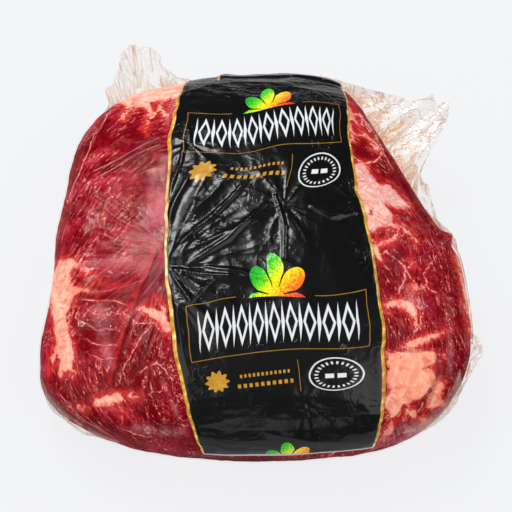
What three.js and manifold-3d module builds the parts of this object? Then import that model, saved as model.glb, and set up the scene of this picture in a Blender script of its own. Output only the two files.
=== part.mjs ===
// A point end brisket, shrink-packed in a clear bag that carries a dark printed panel.
// Millimetres, +Z up. The pack lies on its flat side: the origin is the middle of that face,
// -Y is the front, and +X runs to the right. The bag's gathered ends stand out at the back
// left, the back right and the right side.

import * as THREE from 'three';
import { mergeVertices } from 'three/addons/utils/BufferGeometryUtils.js';
import Module from 'manifold-3d';

// Driving dimensions
const middleHeight = 35;      // height of the widest level above the flat base
const crownRise = 56;         // from the widest level up to the crown
const bellyDrop = 42;         // from the widest level down to where the belly would close
const crownPower = 2.5;       // squareness of the shoulder above the widest level
const bellyPower = 2.6;       // squareness below it

// Reach of the outline from the middle, every 18 degrees from +X towards +Y
const outlineReach = [
  149, 135, 136, 152, 170, 155, 156, 170, 171, 148,
  151, 146, 191, 181, 164, 161, 164, 184, 183, 160,
];

// Broad swellings (+) and hollows (-): where on the pack, how high, how far they spread
const swells = [
  { azimuth: 140, elevation: 42, height: 4, spread: 18 },
  { azimuth: 176, elevation: 38, height: 3, spread: 16 },
  { azimuth: -160, elevation: 48, height: -5, spread: 13 },
  { azimuth: -148, elevation: 22, height: 4, spread: 15 },
  { azimuth: -120, elevation: 30, height: 3, spread: 16 },
  { azimuth: 28, elevation: 44, height: 3, spread: 14 },
  { azimuth: -8, elevation: 40, height: -4, spread: 12 },
  { azimuth: -40, elevation: 26, height: 4, spread: 16 },
  { azimuth: 75, elevation: 50, height: 3, spread: 18 },
  { azimuth: -85, elevation: 50, height: 3, spread: 20 },
  { azimuth: -148, elevation: -10, height: 4, spread: 10 },
];

// The printed panel: a strip over the top, its two edges given as x every 40 degrees round
// the pack, from just below the widest level at the back, up over the crown to the front
const panelLeftX = [-50, -56, -65, -62, -44, -33, -38, -45, -48];
const panelRightX = [62, 68, 72, 87, 86, 78, 70, 62, 58];
const panelStationStart = -10;
const panelStationStep = 40;
const panelBackEnd = -12;     // degrees round the pack: 0 back, 90 top, 180 front
const panelFrontEnd = 173.6;
const panelThickness = 1.0;
const panelGap = 0.3;

// Mesh fineness
const rowsAround = 80;        // all the way round
const capColumns = 12;        // from a side's pole to the panel's edge
const panelColumns = 10;      // across the panel
const panelRows = 44;         // rows along the panel
const filmThickness = 1.8;

// The gathered ends of the bag. Each leaves the pack along an arc of its shoulder and runs
// out to a free edge; the pleats deepen from the root to that edge.
const filmEnds = [
  {
    azimuthFrom: 134, azimuthTo: 114, rootElevation: 18,
    freeEdge: [
      [-113, 126, 59], [-114, 137, 62], [-108, 153, 66], [-103, 167, 70], [-94, 171, 71],
      [-84, 170, 70], [-77, 160, 67], [-70, 152, 64], [-63, 145, 61],
    ],
    pleats: 6.5, pleatDepth: 3.0, columns: 40, rows: 5,
  },
  {
    azimuthFrom: 62, azimuthTo: 5, rootElevation: 15,
    freeEdge: [
      [75, 144, 56], [86, 140, 57], [102, 133, 57], [121, 127, 59], [138, 129, 62],
      [148, 120, 62], [146, 102, 60], [134, 82, 57], [126, 60, 54], [130, 47, 53], [133, 33, 52],
    ],
    pleats: 8.5, pleatDepth: 2.8, columns: 52, rows: 6,
  },
  {
    azimuthFrom: -24, azimuthTo: -40, rootElevation: 10,
    freeEdge: [
      [150, -73, 52], [157, -74, 49], [161, -84, 48], [157, -95, 46], [150, -105, 44], [145, -112, 42],
    ],
    pleats: 2.5, pleatDepth: 1.4, columns: 16, rows: 3,
  },
];

const degrees = Math.PI / 180;

// Uniform cubic B-spline through a closed ring of values; turn runs 0 to 1 round the ring.
function closedSpline(values, turn) {
  const count = values.length;
  const place = ((turn * count) % count + count) % count;
  const first = Math.floor(place);
  const f = place - first;
  const weights = [
    (1 - f) ** 3 / 6,
    (3 * f ** 3 - 6 * f ** 2 + 4) / 6,
    (-3 * f ** 3 + 3 * f ** 2 + 3 * f + 1) / 6,
    f ** 3 / 6,
  ];
  return weights.reduce((sum, weight, k) => sum + weight * values[(first + k - 1 + count) % count], 0);
}

// Catmull-Rom value between a ring's stations; place counts stations.
function closedCurve(values, place) {
  const count = values.length;
  const first = Math.floor(place);
  const f = place - first;
  const [a, b, c, d] = [-1, 0, 1, 2].map((k) => values[((first + k) % count + count) % count]);
  return 0.5 * (2 * b + (c - a) * f + (2 * a - 5 * b + 4 * c - d) * f ** 2
    + (3 * b - a - 3 * c + d) * f ** 3);
}

function direction(azimuth, elevation) {
  const level = Math.cos(elevation * degrees);
  return new THREE.Vector3(
    level * Math.cos(azimuth * degrees),
    level * Math.sin(azimuth * degrees),
    Math.sin(elevation * degrees),
  );
}

// How much the broad swellings lift the surface in a direction, as a factor near 1.
const swellCentres = swells.map((swell) => direction(swell.azimuth, swell.elevation));
function swellFactor(d) {
  return swells.reduce((factor, swell, i) => {
    const apart = Math.acos(Math.min(1, d.dot(swellCentres[i]))) / degrees;
    return factor + (swell.height / 100) * Math.exp(-((apart / swell.spread) ** 2));
  }, 1);
}

// The pack's surface in a direction from its middle: a superellipse section of its own
// half-width (the outline's reach there) and half-height, cut off flat at the base.
function packPoint(d) {
  const level = Math.hypot(d.x, d.y);
  const reach = closedSpline(outlineReach, Math.atan2(d.y, d.x) / (2 * Math.PI));
  const power = d.z > 0 ? crownPower : bellyPower;
  const halfHeight = d.z > 0 ? crownRise : bellyDrop;
  const scale = swellFactor(d) / (level ** power + Math.abs(d.z) ** power) ** (1 / power);
  const point = new THREE.Vector3(d.x * reach, d.y * reach, d.z * halfHeight).multiplyScalar(scale);
  if (point.z < -middleHeight) {
    point.multiplyScalar(-middleHeight / point.z);
    point.z = -middleHeight;
  }
  point.z += middleHeight;
  return point;
}

// The same surface by side (the direction's x, -1 to 1) and around (degrees from the back).
function packAt(side, around) {
  const belt = Math.sqrt(Math.max(0, 1 - side * side));
  return packPoint(new THREE.Vector3(
    side, belt * Math.cos(around * degrees), belt * Math.sin(around * degrees),
  ));
}

// The side value at which the surface has a given x, by halving the interval.
function sideAt(x, around) {
  let low = -0.95;
  let high = 0.95;
  for (let i = 0; i < 40; i += 1) {
    const middle = (low + high) / 2;
    if (packAt(middle, around).x < x) low = middle; else high = middle;
  }
  return (low + high) / 2;
}

const panelEdge = (stations, around) => closedCurve(
  stations, (around - panelStationStart) / panelStationStep,
);
const panelSides = (around) => [
  sideAt(panelEdge(panelLeftX, around), around),
  sideAt(panelEdge(panelRightX, around), around),
];

// Outward normal of the pack's surface by small differences.
function packNormal(side, around) {
  const alongSide = packAt(side + 0.004, around).sub(packAt(side - 0.004, around));
  const alongAround = packAt(side, around + 0.5).sub(packAt(side, around - 0.5));
  return alongAround.cross(alongSide).normalize();
}

// A closed mesh from points and triangles.
function closedMesh(points, triangles) {
  const geometry = new THREE.BufferGeometry();
  const coordinates = points.flatMap((p) => [p.x, p.y, p.z]);
  geometry.setAttribute('position', new THREE.Float32BufferAttribute(coordinates, 3));
  geometry.setIndex(triangles.flat());
  return mergeVertices(geometry, 1e-5);
}

// Two triangles for the cell between four corners.
const cell = (a, b, c, d) => [[a, b, c], [a, c, d]];

// The pack: rows round it and columns from pole to pole, two of them on the panel's edges.
function packGeometry() {
  const points = [packAt(-1, 0), packAt(1, 0)];
  const columnCount = 2 * capColumns + panelColumns - 1;
  for (let row = 0; row < rowsAround; row += 1) {
    const around = rowAround(row);
    const [left, right] = panelSides(around);
    const leftAngle = Math.acos(-left);
    const rightAngle = Math.acos(right);
    for (let column = 1; column <= columnCount; column += 1) {
      let side;
      if (column < capColumns) side = -Math.cos(leftAngle * column / capColumns);
      else if (column <= capColumns + panelColumns) {
        side = left + (right - left) * (column - capColumns) / panelColumns;
      } else side = Math.cos(rightAngle * (columnCount + 1 - column) / capColumns);
      points.push(packAt(side, around));
    }
  }
  const at = (row, column) => 2 + (row % rowsAround) * columnCount + column - 1;
  const triangles = [];
  for (let row = 0; row < rowsAround; row += 1) {
    triangles.push([0, at(row + 1, 1), at(row, 1)]);
    for (let column = 1; column < columnCount; column += 1) {
      triangles.push(...cell(
        at(row, column), at(row + 1, column), at(row + 1, column + 1), at(row, column + 1),
      ));
    }
    triangles.push([1, at(row, columnCount), at(row + 1, columnCount)]);
  }
  return closedMesh(points, triangles);
}

// Rows round the pack: the panel's own rows first, then the rest under the pack.
function rowAround(row) {
  if (row <= panelRows) return panelBackEnd + (panelFrontEnd - panelBackEnd) * row / panelRows;
  const rest = (row - panelRows) / (rowsAround - panelRows);
  return panelFrontEnd + (360 + panelBackEnd - panelFrontEnd) * rest;
}

// A sheet of given thickness over a grid of mid points with their normals, closed all round.
function sheetGeometry(rows, columns, pointAt, normalAt, inner, outer) {
  const points = [];
  for (const lift of [inner, outer]) {
    for (let row = 0; row <= rows; row += 1) {
      for (let column = 0; column <= columns; column += 1) {
        points.push(pointAt(row, column).clone().addScaledVector(normalAt(row, column), lift));
      }
    }
  }
  const layer = (rows + 1) * (columns + 1);
  const at = (face, row, column) => face * layer + row * (columns + 1) + column;
  const triangles = [];
  for (let row = 0; row < rows; row += 1) {
    for (let column = 0; column < columns; column += 1) {
      const corners = [[row, column], [row, column + 1], [row + 1, column + 1], [row + 1, column]];
      triangles.push(...cell(...corners.map(([r, c]) => at(1, r, c))));
      triangles.push(...cell(...corners.map(([r, c]) => at(0, r, c))).map((t) => t.reverse()));
    }
  }
  const rim = [];
  for (let column = 0; column < columns; column += 1) rim.push([0, column]);
  for (let row = 0; row < rows; row += 1) rim.push([row, columns]);
  for (let column = columns; column > 0; column -= 1) rim.push([rows, column]);
  for (let row = rows; row > 0; row -= 1) rim.push([row, 0]);
  rim.forEach(([r, c], i) => {
    const [nextR, nextC] = rim[(i + 1) % rim.length];
    triangles.push(...cell(at(0, r, c), at(0, nextR, nextC), at(1, nextR, nextC), at(1, r, c)));
  });
  return closedMesh(points, triangles);
}

// The panel lies on the pack with the pack's own rows and columns, so it follows every facet.
// Its columns are counted from the right, which turns the sheet's outer face away from the pack.
function panelGeometry() {
  const place = (row, column) => {
    const around = rowAround(row);
    const [left, right] = panelSides(around);
    return [right - (right - left) * column / panelColumns, around];
  };
  return sheetGeometry(
    panelRows, panelColumns,
    (row, column) => packAt(...place(row, column)),
    (row, column) => packNormal(...place(row, column)),
    panelGap, panelGap + panelThickness,
  );
}

// One gathered end: straight lines from the root arc, a little inside the pack, to the free
// edge, with pleats that wave across the sheet and deepen outwards.
function filmEndGeometry(end) {
  const edge = new THREE.CatmullRomCurve3(end.freeEdge.map((p) => new THREE.Vector3(...p)));
  const middle = new THREE.Vector3(0, 0, middleHeight);
  const flat = (row, column) => {
    const along = column / end.columns;
    const azimuth = end.azimuthFrom + (end.azimuthTo - end.azimuthFrom) * along;
    const root = packPoint(direction(azimuth, end.rootElevation)).lerp(middle, 0.06);
    return root.lerp(edge.getPoint(along), row / end.rows);
  };
  const slope = (row, column) => {
    const across = flat(row, column + 1).sub(flat(row, column - 1));
    const outward = flat(row + 1, column).sub(flat(row - 1, column));
    return across.cross(outward).normalize();
  };
  const inside = (value, top) => Math.min(Math.max(value, 1), top - 1);
  const normal = (row, column) => slope(inside(row, end.rows), inside(column, end.columns));
  const pleated = (row, column) => {
    const along = column / end.columns;
    const fade = Math.min(1, along * 6, (1 - along) * 6);
    const deepening = Math.min(1, 1.6 * row / end.rows);
    const wave = Math.sin(2 * Math.PI * end.pleats * along) * fade * deepening;
    return flat(row, column).addScaledVector(normal(row, column), end.pleatDepth * wave);
  };
  return sheetGeometry(end.rows, end.columns, pleated, normal, -filmThickness / 2, filmThickness / 2);
}

const wasm = await Module();
wasm.setup();

function toSolid(geometry) {
  return new wasm.Manifold(new wasm.Mesh({
    numProp: 3,
    vertProperties: new Float32Array(geometry.attributes.position.array),
    triVerts: new Uint32Array(geometry.index.array),
  }));
}

function toGeometry(solid) {
  const mesh = solid.getMesh();
  const geometry = new THREE.BufferGeometry();
  geometry.setAttribute('position', new THREE.Float32BufferAttribute(mesh.vertProperties, 3));
  geometry.setIndex(Array.from(mesh.triVerts));
  return geometry;
}

function namedMesh(name, geometry, material) {
  geometry.computeVertexNormals();
  const mesh = new THREE.Mesh(geometry, material);
  mesh.name = name;
  return mesh;
}

const bagOfMeat = new THREE.MeshStandardMaterial({ color: '#a23a40', roughness: 0.25, metalness: 0 });
const printedFilm = new THREE.MeshStandardMaterial({ color: '#1a1a1b', roughness: 0.3, metalness: 0 });

const pack = filmEnds.reduce(
  (solid, end) => solid.add(toSolid(filmEndGeometry(end))),
  toSolid(packGeometry()),
);

const brisket = new THREE.Group();
brisket.name = 'packed_brisket';
brisket.add(namedMesh('sealed_pack', toGeometry(pack), bagOfMeat));
brisket.add(namedMesh('printed_panel', panelGeometry(), printedFilm));

export default brisket;
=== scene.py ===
from functools import partial
import bpy
import numpy as np
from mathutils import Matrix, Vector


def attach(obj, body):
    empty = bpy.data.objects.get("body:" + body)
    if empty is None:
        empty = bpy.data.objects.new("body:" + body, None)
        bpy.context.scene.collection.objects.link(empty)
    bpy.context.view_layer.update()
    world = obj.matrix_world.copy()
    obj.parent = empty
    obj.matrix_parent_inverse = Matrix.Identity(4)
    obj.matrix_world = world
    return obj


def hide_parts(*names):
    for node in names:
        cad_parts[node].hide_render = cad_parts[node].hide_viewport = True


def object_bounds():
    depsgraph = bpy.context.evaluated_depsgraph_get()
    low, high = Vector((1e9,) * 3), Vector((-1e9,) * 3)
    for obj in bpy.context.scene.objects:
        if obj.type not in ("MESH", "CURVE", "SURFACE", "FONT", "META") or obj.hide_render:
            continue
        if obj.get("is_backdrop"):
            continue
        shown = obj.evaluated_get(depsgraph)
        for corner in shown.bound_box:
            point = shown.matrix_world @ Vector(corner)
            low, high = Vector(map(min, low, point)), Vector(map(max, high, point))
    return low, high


# A point end brisket shrink-packed in a clear bag with a black printed panel over the top.
# Every length below is in millimetres until a mesh is made; +Z is up and -Y is the front.
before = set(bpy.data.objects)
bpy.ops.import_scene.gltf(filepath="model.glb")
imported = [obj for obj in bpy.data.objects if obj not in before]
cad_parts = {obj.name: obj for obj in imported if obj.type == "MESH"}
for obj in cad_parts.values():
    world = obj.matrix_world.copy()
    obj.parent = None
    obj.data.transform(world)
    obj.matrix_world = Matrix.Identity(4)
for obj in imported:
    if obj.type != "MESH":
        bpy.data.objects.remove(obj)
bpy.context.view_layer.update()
print("frame loaded:", sorted(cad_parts))

# The view that the places of the marks are read in, as a square picture
viewFrame = {
    "elevation": 60.0,      # degrees above the horizon
    "distance": 1060.0,     # from the target to the eye
    "target": (0.0, -2.0, 38.0),
    "lens": 100.0,
    "sensor": 36.0,
    "side": 512.0,          # px
    "pixel": 0.745,         # mm that a px spans at the target
    "far": 40.0,            # px, what a line's distance is held to
    "turnsAway": (-0.10, 0.12),   # cosines from the eye's way between which the front's marks fade in
}

# The form of the pack, as the solid has it
packForm = {
    "middleHeight": 35.0,
    "crownRise": 56.0,
    "bellyDrop": 42.0,
    "crownPower": 2.5,
    "bellyPower": 2.6,
    # reach of the outline from the middle, every 18 degrees from +X towards +Y
    "outlineReach": [149, 135, 136, 152, 170, 155, 156, 170, 171, 148,
                     151, 146, 191, 181, 164, 161, 164, 184, 183, 160],
    # azimuth, elevation, height, spread of the broad swellings
    "swells": [(140, 42, 4, 18), (176, 38, 3, 16), (-160, 48, -5, 13), (-148, 22, 4, 15),
               (-120, 30, 3, 16), (28, 44, 3, 14), (-8, 40, -4, 12), (-40, 26, 4, 16),
               (75, 50, 3, 18), (-85, 50, 3, 20), (-148, -10, 4, 10)],
    # the meat's clearance from the film at the back right: azimuth and depth, and the elevations
    # between which it fades out at the top and at the bottom
    "shoulder": [(-180, 0), (-4, 0), (4, 3.5), (12, 7), (20, 8), (28, 8.5), (36, 9), (44, 8), (52, 5),
                 (60, 1.5), (68, 0), (180, 0)],
    "shoulderTop": (40, 16), "shoulderFoot": (-45, -20),
}


def smooth(low, high, value):
    # smoothstep: 0 at low and 1 at high, with level ends; low may be the greater
    t = np.clip((value - low) / (high - low), 0, 1)
    return t * t * (3 - 2 * t)


def closedSpline(values, turn):
    # uniform cubic B-spline through a closed ring of values; turn runs 0 to 1 round the ring
    ring = np.asarray(values, float)
    place = (turn * len(ring)) % len(ring)
    first = np.floor(place).astype(int)
    f = place - first
    weights = ((1 - f) ** 3 / 6, (3 * f ** 3 - 6 * f ** 2 + 4) / 6,
               (-3 * f ** 3 + 3 * f ** 2 + 3 * f + 1) / 6, f ** 3 / 6)
    return sum(weights[k] * ring[(first + k - 1) % len(ring)] for k in range(4))


def catmullRom(a, b, c, d, f):
    # cubic from b to c at the share f, with slopes from their neighbours a and d
    return 0.5 * (2 * b + (c - a) * f + (2 * a - 5 * b + 4 * c - d) * f ** 2
                  + (3 * b - a - 3 * c + d) * f ** 3)


def closedCurve(values, place):
    # Catmull-Rom value between the stations of a ring; place counts stations
    ring = np.asarray(values, float)
    first = np.floor(place).astype(int)
    return catmullRom(*[ring[(first + k) % len(ring)] for k in (-1, 0, 1, 2)], place - first)


def openCurve(points, along):
    # Catmull-Rom curve through open control points; along runs 0 to 1
    knots = np.asarray(points, float)
    place = np.clip(along, 0, 1) * (len(knots) - 1)
    first = np.clip(np.floor(place).astype(int), 0, len(knots) - 2)
    padded = np.vstack([2 * knots[0] - knots[1], knots, 2 * knots[-1] - knots[-2]])
    return catmullRom(*[padded[first + k] for k in range(4)], (place - first)[..., None])


def arcLength(points):
    # distance run along a row of points, from its first one
    return np.concatenate([[0], np.cumsum(np.linalg.norm(np.diff(points, axis=0), axis=1))])


def evenSteps(points, values, shares):
    # the values that belong to shares of the whole distance along a row of points
    arc = arcLength(points)
    return np.interp(shares * arc[-1], arc, values)


def direction(azimuth, elevation):
    # unit vector at an azimuth from +X towards +Y and an elevation, in degrees
    a, e = np.radians(azimuth), np.radians(elevation)
    return np.stack(np.broadcast_arrays(np.cos(e) * np.cos(a), np.cos(e) * np.sin(a), np.sin(e)), -1)


def packPoint(d):
    # superellipse section: half-width is the outline's reach, half-height above or below the
    # widest level, times one plus the swellings' bells, cut off flat at the base
    x, y, z = d[..., 0], d[..., 1], d[..., 2]
    reach = closedSpline(packForm["outlineReach"], np.arctan2(y, x) / (2 * np.pi))
    power = np.where(z > 0, packForm["crownPower"], packForm["bellyPower"])
    halfHeight = np.where(z > 0, packForm["crownRise"], packForm["bellyDrop"])
    factor = np.ones_like(x)
    for azimuth, elevation, height, spread in packForm["swells"]:
        apart = np.degrees(np.arccos(np.clip(d @ direction(azimuth, elevation), -1, 1)))
        factor = factor + height / 100 * np.exp(-(apart / spread) ** 2)
    scale = factor / (np.hypot(x, y) ** power + np.abs(z) ** power) ** (1 / power)
    point = np.stack([x * reach * scale, y * reach * scale, z * halfHeight * scale], -1)
    middle = packForm["middleHeight"]
    below = point[..., 2] < -middle
    point = point * np.where(below, -middle / np.where(below, point[..., 2], 1), 1)[..., None]
    point[..., 2] = np.where(below, 0, point[..., 2] + middle)
    return point


def packAt(side, around):
    # side is the direction's x, around its angle in degrees from the back over the top
    turn = np.radians(around)
    belt = np.sqrt(np.maximum(0, 1 - side ** 2))
    return packPoint(np.stack([side, belt * np.cos(turn), belt * np.sin(turn)], -1))


def sideAt(x, around):
    # the side value where the surface has a given x, by halving the interval
    low, high = np.full_like(around, -0.95), np.full_like(around, 0.95)
    for _ in range(36):
        middle = (low + high) / 2
        less = packAt(middle, around)[..., 0] < x
        low, high = np.where(less, middle, low), np.where(less, high, middle)
    return (low + high) / 2


def carved(d):
    # how far the meat lies inside the pack's form: the shoulder's depth at an azimuth, faded by height
    azimuth = np.degrees(np.arctan2(d[..., 1], d[..., 0]))
    elevation = np.degrees(np.arcsin(np.clip(d[..., 2], -1, 1)))
    depth = np.interp(azimuth, *np.array(packForm["shoulder"], float).T)
    return depth * smooth(*packForm["shoulderTop"], elevation) * smooth(*packForm["shoulderFoot"], elevation)


def clearOfPack(points, gap):
    # pushes points that lie in the pack, or nearer than gap, out along the line from its middle
    middle = np.array([0, 0, packForm["middleHeight"]])
    offset = points - middle
    turn = np.arctan2(offset[..., 1], offset[..., 0]) / (2 * np.pi)
    reach = closedSpline(packForm["outlineReach"], turn)
    half = np.where(offset[..., 2] > 0, packForm["crownRise"], packForm["bellyDrop"])
    d = offset / np.stack([reach, reach, half], -1)
    d = d / np.linalg.norm(d, axis=-1, keepdims=True)
    surface = np.linalg.norm(packPoint(d) - middle, axis=-1) - carved(d)
    distance = np.linalg.norm(offset, axis=-1)
    return middle + offset * (np.maximum(distance, surface + gap) / distance)[..., None]


def gridNormals(points, wrap=False):
    # cross product of the two grid directions; wrap closes the second one
    alongRow = np.roll(points, -1, 1) - np.roll(points, 1, 1) if wrap else np.gradient(points, axis=1)
    normal = np.cross(np.gradient(points, axis=0), alongRow)
    return normal / np.maximum(np.linalg.norm(normal, axis=-1, keepdims=True), 1e-9)


def noise(points, cell, seed):
    # value noise: random numbers at the corners of a lattice, blended smoothly between them
    place = points / cell
    corner = np.floor(place).astype(np.int64)
    f = place - corner
    f = f * f * (3 - 2 * f)
    total = 0.0
    for dx, dy, dz in np.ndindex(2, 2, 2):
        h = ((corner[..., 0] + dx) * 73856093) ^ ((corner[..., 1] + dy) * 19349663)
        h = h ^ ((corner[..., 2] + dz) * 83492791) ^ (seed * 951274213)
        h = ((h ^ (h >> 13)) * 1274126177) & 0x7FFFFFFF
        h = ((h ^ (h >> 15)) * 668265263) & 0x7FFFFFFF
        weight = np.abs(1 - dx - f[..., 0]) * np.abs(1 - dy - f[..., 1]) * np.abs(1 - dz - f[..., 2])
        total = total + weight * (h & 0xFFFF) / 65535
    return total


def octaves(points, cell, count, seed):
    # noise summed at halving cells and halving weights, 0 to 1
    total, weight = 0.0, 1.0
    for k in range(count):
        total = total + weight * noise(points, cell / 2 ** k, seed + 17 * k)
        weight /= 2
    return total / (2 - 2 ** (1 - count))


def ridges(points, cell, seed, sharp=3.0):
    # sharp crests where the noise passes its middle value
    return (1 - np.abs(2 * noise(points, cell, seed) - 1)) ** sharp


def wander(points, cell, seed):
    # two noises side by side, -0.5 to 0.5, that sway places in a plane
    return np.stack([noise(points, cell, seed), noise(points, cell, seed + 1)], -1) - 0.5


def lumpsAt(points):
    # the meat's soft lumps: a wide and a narrow noise
    return 1.5 * (octaves(points, 34, 2, 3) - 0.5) + 0.5 * (noise(points, 11, 5) - 0.5)


def seenAt(points):
    # where a point shows in the picture: perspective from the eye through the target
    e = np.radians(viewFrame["elevation"])
    back = np.array([0, -np.cos(e), np.sin(e)])
    up = np.array([0, np.sin(e), np.cos(e)])
    offset = points - np.array(viewFrame["target"])
    depth = viewFrame["distance"] - offset @ back
    focal = viewFrame["lens"] / viewFrame["sensor"] * viewFrame["side"]
    half = viewFrame["side"] / 2
    return np.stack([half + focal * offset[..., 0] / depth, half - focal * (offset @ up) / depth], -1)


def fromSegment(places, start, end):
    # the share along a segment, not held and held to 0 to 1, and the distance from that point of it
    step = end - start
    raw = ((places - start) @ step) / (step @ step)
    along = np.clip(raw, 0, 1)
    return raw, along, np.linalg.norm(places - start - along[..., None] * step, axis=-1)


def insideChains(places, chains):
    # signed distance in px to chains of discs joined by tapering bars: positive inside
    best = np.full(places.shape[:-1], -1e3)
    for chain in chains:
        for (*start, r0), (*end, r1) in zip(chain, chain[1:]):
            _, along, gap = fromSegment(places, np.array(start), np.array(end))
            best = np.maximum(best, r0 + (r1 - r0) * along - gap)
    return best


def besideLine(places, line):
    # distance to a line in px, negative on one side of it, and growing fast past its ends
    best, signed = np.full(places.shape[:-1], 1e3), np.zeros(places.shape[:-1])
    for start, end in zip(np.array(line[:-1], float), np.array(line[1:], float)):
        raw, along, gap = fromSegment(places, start, end)
        step, offset = end - start, places - start
        side = np.sign(step[0] * offset[..., 1] - step[1] * offset[..., 0])
        past = np.abs(raw - along) * np.linalg.norm(step)
        signed = np.where(gap < best, side * (gap + 2 * past), signed)
        best = np.minimum(best, gap)
    return np.clip(signed, -viewFrame["far"], viewFrame["far"])


def linear(code):
    # sRGB hex code to linear colour with alpha
    parts = np.array([int(code[i:i + 2], 16) for i in (0, 2, 4)]) / 255
    parts = np.where(parts <= 0.04045, parts / 12.92, ((parts + 0.055) / 1.055) ** 2.4)
    return (*parts.tolist(), 1.0)


# short words for some kinds of node, each with its main setting
nodeWords = {
    "step": ("MapRange", "interpolation_type", "SMOOTHSTEP"),
    "blend": ("Mix", "data_type", "RGBA"),
    "flatNoise": ("TexNoise", "noise_dimensions", "2D"),
}


def addNode(tree, word, *values, output=None, **named):
    # adds a node with its settings and links, and gives its output. A word in capitals is a Math
    # operation, and it takes more than two values in turn. Values go to the open inputs in order,
    # named ones to the input or else the setting of that name; text is a colour's hex code
    if word in ("ADD", "MULTIPLY", "MAXIMUM") and len(values) > 2:
        values = (addNode(tree, word, *values[:-1]), values[-1])
    plain = ("Math", "operation", word) if word.isupper() else (word, "", "")
    kind, setting, mode = nodeWords.get(word, plain)
    node = tree.nodes.new("ShaderNode" + kind)
    if setting:
        setattr(node, setting, mode)
    pairs = list(zip([socket for socket in node.inputs if socket.enabled], values))
    for name, value in named.items():
        if name == "ramp":
            while len(node.color_ramp.elements) < len(value):
                node.color_ramp.elements.new(0.5)
            for element, (position, colour) in zip(node.color_ramp.elements, value):
                element.position, element.color = position, linear(colour)
        elif name in node.inputs:
            pairs.append((node.inputs[name], value))
        else:
            setattr(node, name, value)
    for socket, value in pairs:
        if isinstance(value, bpy.types.NodeSocket):
            tree.links.new(value, socket)
        else:
            socket.default_value = linear(value) if isinstance(value, str) else value
    if output:
        return node.outputs[output]
    return next((socket for socket in node.outputs if socket.enabled), None)


def newMaterial(name, fields=()):
    # an empty material, what adds nodes to it, and each of the piece's fields as a socket
    material = bpy.data.materials.new(name)
    material.use_nodes = True
    material.node_tree.nodes.clear()
    add = partial(addNode, material.node_tree)
    return material, add, *[add("Attribute", attribute_name=field, output="Fac") for field in fields]


def weighted(add, start, *terms):
    # the start value plus each field times its weight
    for field, weight in terms:
        start = add("MULTIPLY_ADD", field, weight, start)
    return start


def layered(add, colour, *layers):
    # lays colours over a first one, each where its field shows and as strong as its share
    for field, share, tint in layers:
        colour = add("blend", add("MULTIPLY", field, share), colour, tint)
    return colour


def crest(add, value, width, full=0.0):
    # 1 on the lines where a noise passes its middle value, and 0 at width from them
    return add("step", add("ABSOLUTE", add("SUBTRACT", value, 0.5)), width, full)


def drawnOut(add, uv, first, second, detail, twist, scale=1.0, rough=0.5):
    # noise on the piece's own coordinates, stretched: at scale 1 its cells are first by second mm
    stretched = add("Mapping", uv, Scale=(1 / first, 1 / second, 1))
    return add("flatNoise", stretched, scale, detail, rough, Distortion=twist)


def glossOver(add, body, normal, roughness, most, share):
    # a thin clear skin over a body: it mirrors as Fresnel says, held to most, times a share
    mirror = add("MULTIPLY", add("MINIMUM", add("Fresnel", 1.5, normal), most), share)
    gloss = add("BsdfAnisotropic", Roughness=roughness, Normal=normal)
    add("OutputMaterial", add("MixShader", mirror, body, gloss))


def gridPiece(name, points, wrap=False, closeEnds=False, sheet=False, uv=None, fields=None):
    # a mesh from a grid of points in mm; closeEnds adds a fan at the first and last row, and sheet
    # says that the second half of each row is the first one's back, so the ends close by strips
    rows, columns = points.shape[:2]
    index = np.arange(rows * columns).reshape(rows, columns)
    right = np.roll(index, -1, 1) if wrap else index[:, 1:]
    left = index if wrap else index[:, :-1]
    faces = [np.stack([left[:-1], left[1:], right[1:], right[:-1]], -1).reshape(-1, 4)]
    places = points.reshape(-1, 3)
    poles = np.zeros((0, 3))
    if closeEnds:
        poles = np.stack([points[0].mean(0), points[-1].mean(0)])
        top, bottom = rows * columns, rows * columns + 1
        faces.append(np.stack([np.full(columns, top), index[0], np.roll(index[0], -1)], -1))
        faces.append(np.stack([np.full(columns, bottom), np.roll(index[-1], -1), index[-1]], -1))
    if sheet:
        near = np.arange(columns // 2 - 1)
        across = np.stack([near, near + 1, columns - 2 - near, columns - 1 - near], -1)
        faces += [index[0][across], index[-1][across[:, ::-1]]]
    places = np.vstack([places, poles])
    corners = np.concatenate([group.ravel() for group in faces])
    sizes = np.concatenate([np.full(len(group), group.shape[1]) for group in faces])
    mesh = bpy.data.meshes.new(name)
    mesh.vertices.add(len(places))
    mesh.vertices.foreach_set("co", (places / 1000).astype(np.float32).ravel())
    mesh.loops.add(len(corners))
    mesh.loops.foreach_set("vertex_index", corners.astype(np.int32))
    mesh.polygons.add(len(sizes))
    starts = np.concatenate([[0], np.cumsum(sizes)[:-1]])
    mesh.polygons.foreach_set("loop_start", starts.astype(np.int32))
    mesh.update(calc_edges=True)
    mesh.validate()
    mesh.shade_smooth()
    if uv is not None:
        layer = mesh.uv_layers.new(name="place")
        flat = np.vstack([uv.reshape(-1, 2), np.zeros((len(poles), 2))])
        layer.data.foreach_set("uv", flat[corners].astype(np.float32).ravel())
    for field, values in (fields or {}).items():
        attribute = mesh.attributes.new(field, "FLOAT", "POINT")
        flat = np.concatenate([values.ravel(), [values[0].mean(), values[-1].mean()][:len(poles)]])
        attribute.data.foreach_set("value", flat.astype(np.float32))
    piece = bpy.data.objects.new(name, mesh)
    bpy.context.scene.collection.objects.link(piece)
    return piece


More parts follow.
